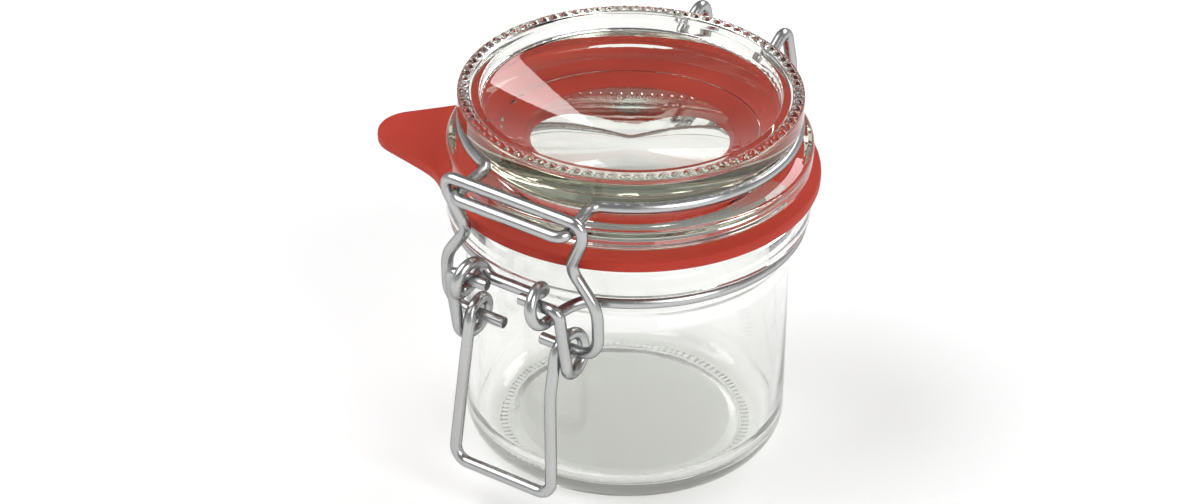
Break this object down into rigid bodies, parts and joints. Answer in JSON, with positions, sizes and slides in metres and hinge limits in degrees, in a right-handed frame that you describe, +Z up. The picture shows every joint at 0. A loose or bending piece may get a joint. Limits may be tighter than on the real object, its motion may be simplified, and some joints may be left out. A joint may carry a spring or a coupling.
{
  "type": "clip top jar",
  "caption": "Small round glass jar shut by a hinged glass lid, a rubber gasket and a wire clamp that a hanging lever pulls over centre.",
  "frame": {"origin": "middle of the flat underside of the jar, on the floor", "axes": "+Z up through the jar; -Y is the front, where the lever hangs; +Y is the back, where the lid hinges; the gasket's tab points to -X"},
  "size_m": [0.0916, 0.0979, 0.0816],
  "materials": {
    "jar_glass": "clear, polished",
    "lid_glass": "clear, polished, thick",
    "gasket": "matt orange red",
    "steel": "satin drawn wire"
  },
  "bodies": {
    "jar": {"jar_glass": "jar_glass", "neck_wire": "steel"},
    "lid": {"lid_glass": "lid_glass", "gasket": "gasket", "lid_wire": "steel"},
    "lever": {"lever": "steel"},
    "clamp": {"clamp": "steel"}
  },
  "joints": [
    {"name": "lid_hinge", "type": "hinge", "parent": "jar", "child": "lid", "pos_m": [0, 0.044, 0.0549], "axis": [-1, 0, 0], "range_deg": [0, 105]},
    {"name": "lever_pivot", "type": "hinge", "parent": "jar", "child": "lever", "pos_m": [0, -0.0449, 0.0551], "axis": [-1, 0, 0], "range_deg": [0, 90]},
    {"name": "clamp_pivot", "type": "hinge", "parent": "lever", "child": "clamp", "pos_m": [0, -0.0381, 0.0423], "axis": [1, 0, 0], "range_deg": [0, 135]}
  ],
  "couplings": [
    {"joint": "clamp_pivot", "follows": "lever_pivot", "ratio": 1.5}
  ]
}
